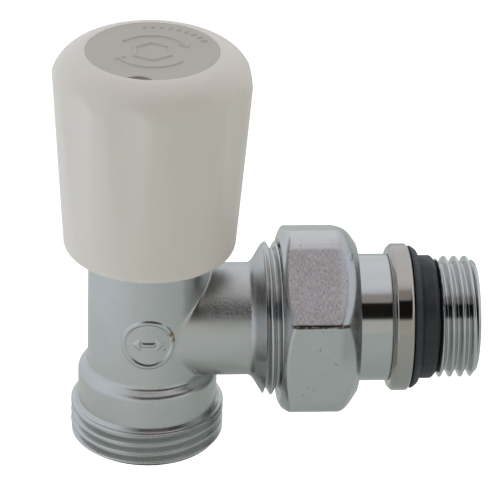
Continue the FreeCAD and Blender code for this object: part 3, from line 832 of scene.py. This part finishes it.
def plastic(name, colour, tint, roughness, scatter=0.0, shade_and_grime=None):
    """Moulded plastic: faint clouding, fine matt grain and lighter edges, with any painted shade and grime
    darkening it around one point.
    """
    n = Surface(name)
    clouds = n.mottled(9.0, 0.3, 0.7, colour, tint)
    lighter = tuple(min(1.0, c * 1.06) for c in colour)
    clouds = n.mix(n.times(n.edges(0.51, 0.58), 0.4), clouds, rgb(*lighter))
    # Painted shade: a dark brown spot around the given point, standing in for the shade in the pry notch,
    # with some grime.
    if shade_and_grime:
        clouds = n.mix(n.times(n.near(shade_and_grime, 1.8), 0.95), clouds, rgb(0.16, 0.12, 0.09))
    blur = n.remap(n.noise(1.5, 3.0), 0.3, 0.7, roughness * 0.9, roughness * 1.1)
    material = n.finish(Base_Color=clouds, Roughness=blur, Normal=n.bump(n.noise(0.25, 2.0), 0.5, 0.004))
    if scatter:
        n.finish(Subsurface_Weight=scatter, Subsurface_Radius=(1.0, 0.8, 0.6), Subsurface_Scale=1.5 * MM)
    return material


def rubber(name, colour):
    """Moulded rubber: a faint bloom of dust and fine grain."""
    n = Surface(name)
    bloom = n.remap(n.noise(3.0, 4.0), 0.4, 0.75)
    dusty = n.mix(bloom, rgb(*colour), rgb(*[c * 1.7 for c in colour]))
    blur = n.remap(n.noise(1.0, 3.0), 0.3, 0.7, 0.42, 0.6)
    return n.finish(Base_Color=dusty, Roughness=blur, Normal=n.bump(n.noise(0.35, 3.0), 0.6, 0.02))


def body_chrome():
    """Satin plate: smooth on the neck, blasted on the upper branch, brass where the mark is worn, and painted
    shade darkening the flare.
    """
    n = Surface("body_chrome")
    plate = n.mottled(6.0, 0.35, 0.65, (0.58, 0.59, 0.585), (0.55, 0.565, 0.56))
    wear = n.times(n.edges(0.58, 0.7), n.remap(n.noise(1.2), 0.5, 0.7, 0.0, 0.6))
    for across, up, radius in brass_spots:
        front = -math.sqrt(neck_radius ** 2 - across ** 2) - mark_relief
        spot = n.near((across, front, mark_height + up), radius)
        wear = n.math("MAXIMUM", wear, n.times(spot, n.remap(n.noise(0.7), 0.45, 0.55)))
    colour = n.mix(wear, plate, rgb(0.34, 0.23, 0.09))
    branch = n.times(n.fade("X", blasted_from - 1.0, blasted_from + 1.0),
                     n.fade("X", blasted_to + 1.0, blasted_to - 1.0))
    blasted = n.times(branch, n.fade("Z", branch_height - 1.0, branch_height + 3.0))
    # Painted shade: the flare's plate is darkened to stand in for its darker reflection.
    flare_painted_shade = n.times(n.fade("X", flare_shade_from - 0.5, flare_shade_from + 0.5),
                    n.fade("X", flare_shade_to + 0.5, flare_shade_to - 0.5))
    colour = n.mix(flare_painted_shade, colour, rgb(0.52, 0.52, 0.515))
    band = n.times(n.fade("Z", branch_height + 4.2, branch_height + 5.6),
                   n.fade("Z", branch_height + 9.0, branch_height + 6.6))
    specks = n.times(n.remap(n.noise(0.3, 2.0, roughness=0.6), 0.46, 0.56, 0.0, 0.5), band)
    specks = n.times(specks, n.fade("Y", -2.0, 0.0, 1.0, 0.0))
    colour = n.mix(n.times(specks, branch), colour, rgb(0.12, 0.115, 0.12))
    grain = n.times(n.noise(0.3, 3.0, roughness=0.6), n.remap(blasted, 0.0, 1.0, 0.008, 1.0))
    blur = n.math("ADD", n.remap(n.noise(2.5, 3.0), 0.3, 0.7, 0.25, 0.31), n.times(blasted, 0.11))
    blur = n.math("ADD", blur, n.fade("X", 18.5, 20.0, 0.0, -0.1))
    return n.finish(Base_Color=colour, Metallic=1.0, Roughness=blur, Normal=n.bump(grain, 1.0, 0.03))


def forged_chrome():
    """Plate over a forged nut: smooth, rippled on its front upper face, a dark crack where the dies met, and
    a painted reflection darkening the upper half of its end chamfer.
    """
    n = Surface("forged_chrome")
    plate = n.mottled(4.0, 0.35, 0.65, (0.595, 0.60, 0.60), (0.565, 0.57, 0.57))
    turn = math.radians(nut_parting)
    height = n.math("SUBTRACT", n.along("Z"), branch_height * MM)
    off_plane = n.math("ADD", n.times(height, math.cos(turn)), n.times(n.along("Y"), math.sin(turn)))
    wander = n.remap(n.noise(1.6, 4.0), 0.0, 1.0, -0.25 * MM, 0.25 * MM)
    off_crack = n.math("ABSOLUTE", n.math("ADD", off_plane, wander), 0.0)
    crack = n.remap(off_crack, 0.2 * MM, 0.42 * MM, 1.0, 0.0)
    crack = n.times(crack, n.remap(n.noise(0.8), 0.3, 0.5, 0.45, 1.0))
    crack = n.times(crack, n.fade("X", nut_start + 0.8, nut_start + 1.4))
    crack = n.times(crack, n.fade("X", nut_end - 2.0, nut_end - 2.6))
    tilt = turn + math.pi / 6
    off_face = n.math("SUBTRACT", n.times(height, math.sin(tilt)), n.times(n.along("Y"), math.cos(tilt)))
    face = n.remap(off_face, (nut_flats / 2 - 0.2) * MM, (nut_flats / 2 - 0.1) * MM)
    face = n.times(face, n.fade("Y", -4.7, -4.1, 1.0, 0.0))
    wavy = n.noise(0.22, 2.0, n.stretched((1.0, 0.3, 0.3)), 0.6)
    worked = n.mix(n.remap(wavy, 0.4, 0.6), rgb(0.36, 0.34, 0.345), rgb(0.46, 0.44, 0.445))
    plate = n.mix(face, plate, worked)
    # Painted reflection: a darker, bluish tone on the upper half of the nut's end chamfer, standing in for
    # what it reflects.
    upper_end_painted_reflection = n.times(n.fade("X", nut_end - 4.2, nut_end - 3.2), n.remap(height, -2.0 * MM, 2.0 * MM))
    plate = n.mix(upper_end_painted_reflection, plate, rgb(0.46, 0.475, 0.49))
    nick_x, nick_y, nick_up = nut_nick
    nicks = n.times(n.near((nick_x, nick_y, branch_height + nick_up), 2.4), n.remap(n.noise(0.6), 0.52, 0.58))
    pits = n.times(n.remap(n.noise(0.9, 3.0), 0.68, 0.74), 0.5)
    plate = n.mix(n.math("MAXIMUM", nicks, pits), plate, rgb(0.16, 0.16, 0.17))
    colour = n.mix(crack, plate, rgb(0.07, 0.045, 0.04))
    ripples = n.times(wavy, n.remap(face, 0.0, 1.0, 0.04, 1.0))
    blur = n.remap(n.noise(1.5, 3.0), 0.3, 0.7, 0.16, 0.26)
    return n.finish(Base_Color=colour, Metallic=1.0, Roughness=blur, Normal=n.bump(ripples, 1.0, 0.07))


def assign(piece, material):
    piece.data.materials.clear()
    piece.data.materials.append(material)


def assign_node(node, material):
    for slot in frame["nodes"][node].material_slots:
        slot.material = material


bare_brass = metal("bare_brass", (0.78, 0.62, 0.34), (0.72, 0.56, 0.30), 0.25, 0.3, 0.004,
                   worn=(0.85, 0.72, 0.45))
bright_steel = metal("bright_steel", (0.56, 0.56, 0.57), (0.50, 0.50, 0.52), 0.22, 0.3, 0.003,
                     worn=(0.6, 0.6, 0.62))
seal_rubber = rubber("seal_rubber", (0.02, 0.02, 0.02))
grey_plastic = plastic("grey_plastic", (0.62, 0.62, 0.62), (0.58, 0.58, 0.58), 0.45)
slip_plastic = plastic("slip_plastic", (0.85, 0.85, 0.83), (0.80, 0.80, 0.78), 0.4)

for node in ("bonnet", "key_spindle", "obturator", "washer_screw"):
    assign_node(node, bare_brass)
for node in ("spindle_stop_clip", "swivel_clip", "cap_snap_ring"):
    assign_node(node, bright_steel)
for node in ("bonnet_oring", "spindle_oring_lower", "spindle_oring_upper", "seat_washer", "cap_grip_ring",
             "tail_nose_oring"):
    assign_node(node, seal_rubber)
assign_node("cap_sleeve", grey_plastic)
assign_node("union_slip_ring", slip_plastic)

# Where the white cap's painted shade, with some grime, darkens the inside of its pry notch.
notch_turn = math.radians(notch_middle)
notch_reach = disc_radius - 0.8
notch_place = (notch_reach * math.sin(notch_turn), -notch_reach * math.cos(notch_turn), recess_floor)
white_plastic = plastic("white_plastic", (0.85, 0.783, 0.71), (0.835, 0.768, 0.695), 0.32, 0.3, notch_place)
beige_plastic = plastic("beige_plastic", (0.57, 0.525, 0.46), (0.555, 0.51, 0.445), 0.42)
polished_chrome = metal("polished_chrome", (0.56, 0.57, 0.57), (0.54, 0.555, 0.555), 0.09, 0.5, 0.0006)
turned_nickel = metal("turned_nickel", (0.46, 0.44, 0.41), (0.44, 0.42, 0.39), 0.07, 0.4, 0.0004)
gasket_rubber = rubber("gasket_rubber", (0.018, 0.021, 0.025))


def place(piece, body, node, slot, material):
    assign(piece, material)
    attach(piece, body)
    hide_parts(node)


place(valve_body(), "valve", "valve_body", "chrome_satin", body_chrome())
place(union_nut(), "nut", "union_nut", "chrome_forged", forged_chrome())
place(tailpiece(), "tail", "tailpiece", "chrome_polished", polished_chrome)
place(thrust_ring(), "tail", "thrust_ring", "nickel", turned_nickel)
place(tail_gasket(), "tail", "tail_gasket", "gasket_rubber", gasket_rubber)
place(cap_shell(), "cap", "cap_shell", "white_plastic", white_plastic)
place(cap_disc(), "disc", "cap_disc", "beige_plastic", beige_plastic)


# Floor, light and camera.

white_to_the_eye = 1.3


def camera():
    """Camera at the view of a long lens from the front, a little to the left and well above."""
    azimuth, elevation, roll = (math.radians(turn) for turn in (view_azimuth, view_elevation, view_roll))
    target = Vector(view_target) * MM
    distance = view_distance * MM
    back = Vector((math.sin(azimuth) * math.cos(elevation), -math.cos(azimuth) * math.cos(elevation),
                   math.sin(elevation)))
    right = Vector((math.cos(azimuth), math.sin(azimuth), 0.0))
    up = back.cross(right)
    tilted_right = math.cos(roll) * right + math.sin(roll) * up
    tilted_up = math.cos(roll) * up - math.sin(roll) * right
    lens = bpy.data.cameras.new("camera")
    lens.sensor_width = 36.0
    lens.lens = view_lens
    lens.clip_start = 0.01
    seen = bpy.data.objects.new("camera", lens)
    seen.matrix_world = Matrix((
        (tilted_right.x, tilted_up.x, back.x, target.x + back.x * distance),
        (tilted_right.y, tilted_up.y, back.y, target.y + back.y * distance),
        (tilted_right.z, tilted_up.z, back.z, target.z + back.z * distance),
        (0, 0, 0, 1)))
    bpy.context.scene.collection.objects.link(seen)
    bpy.context.scene.camera = seen


def floor():
    """Pale floor under the inlet, plain white to the eye. For all other rays it is grey and also glows:
    painted light, brighter and bluish to the left and greener to the right, which shapes the reflections on
    the object.
    """
    columns = 96
    radii = np.array([0.0, 0.02, 0.05, 0.1, 0.2, 0.5, 1.0, 2.0, 4.0]) / MM
    angle = angles(columns)[0]
    points = [(0.0, 0.0, 0.0)]
    for radius in radii[1:]:
        points += [(radius * math.cos(a), radius * math.sin(a), 0.0) for a in angle]
    inner = [(0, 1 + c, 1 + (c + 1) % columns) for c in range(columns)]
    outer = ring_faces(len(radii) - 1, columns, False) + 1
    plate = mesh_object("floor", np.array(points) - (0, 0, 0.3), [inner, outer])
    n = Surface("floor")
    n.finish(Base_Color=rgb(0.3, 0.3, 0.3), Roughness=0.9, Specular_IOR_Level=0.0)
    # Painted light: the floor's glow for all but camera rays, brighter and bluish to the left, dimmer and
    # greener to the right.
    to_left = n.fade("X", -28.0, -70.0)
    to_right = n.fade("X", -10.0, 25.0)
    near_side = n.mix(to_right, rgb(0.42, 0.44, 0.42), rgb(0.32, 0.357, 0.332))
    tint = n.mix(to_left, near_side, rgb(0.54, 0.59, 0.63))
    n.finish(Emission_Color=tint, Emission_Strength=1.0)
    glow = n.add("ShaderNodeEmission", Strength=white_to_the_eye)
    both = n.for_camera(n.shader.outputs["BSDF"], glow.outputs["Emission"])
    n.tree.links.new(both.outputs["Shader"], n.tree.nodes["Material Output"].inputs["Surface"])
    assign(plate, n.material)


def studio():
    """Soft tent of light: bright overhead, a dark gap behind the camera, pale walls, bluish on the left.

    What the camera sees past the floor is plain white.
    """
    world = bpy.data.worlds.new("studio")
    bpy.context.scene.world = world
    world.use_nodes = True
    n = Nodes(world.node_tree, "Generated")
    height = n.remap(n.along("Z"), -1.0, 1.0)

    def level(degrees):
        return 0.5 + 0.5 * math.sin(math.radians(degrees))

    ground, zenith = (0.42, 0.48, 0.44), (0.84, 0.84, 0.87)
    front_stops = [
        (0.0, ground), (level(-10), (0.50, 0.55, 0.50)), (level(5), (0.60, 0.60, 0.56)),
        (level(22), (0.57, 0.56, 0.53)), (level(27), (0.03, 0.03, 0.03)), (level(31), (0.013, 0.012, 0.011)),
        (level(53), (0.013, 0.012, 0.011)), (level(56), (0.37, 0.33, 0.32)), (level(68), (0.38, 0.35, 0.34)),
        (level(73), (0.60, 0.57, 0.59)), (level(84), (0.78, 0.77, 0.80)), (1.0, zenith)]
    brighter = [(position, tuple(1.15 * c for c in colour)) for position, colour in front_stops]
    facing_right = n.remap(n.along("X"), 0.2, 0.6)
    front = n.mix(facing_right, n.ramp(height, front_stops), n.ramp(height, brighter))
    back = n.ramp(height, [
        (0.0, ground), (0.5, (0.80, 0.82, 0.84)), (level(45), (0.88, 0.90, 0.95)), (1.0, zenith)])
    left = n.ramp(height, [
        (0.0, (0.60, 0.66, 0.70)), (0.5, (0.72, 0.77, 0.82)), (level(45), (0.76, 0.80, 0.85)), (1.0, zenith)])
    facing_back = n.remap(n.along("Y"), -0.35, 0.0)
    facing_left = n.remap(n.along("X"), -0.25, -0.6)
    colour = n.mix(facing_left, n.mix(facing_back, front, back), left)
    background = n.tree.nodes["Background"]
    n.give(background, "Color", colour)
    white = n.add("ShaderNodeBackground", Strength=white_to_the_eye)
    both = n.for_camera(background.outputs["Background"], white.outputs["Background"])
    n.tree.links.new(both.outputs["Shader"], n.tree.nodes["World Output"].inputs["Surface"])


camera()
floor()
studio()
bpy.context.scene.view_settings.view_transform = "Standard"
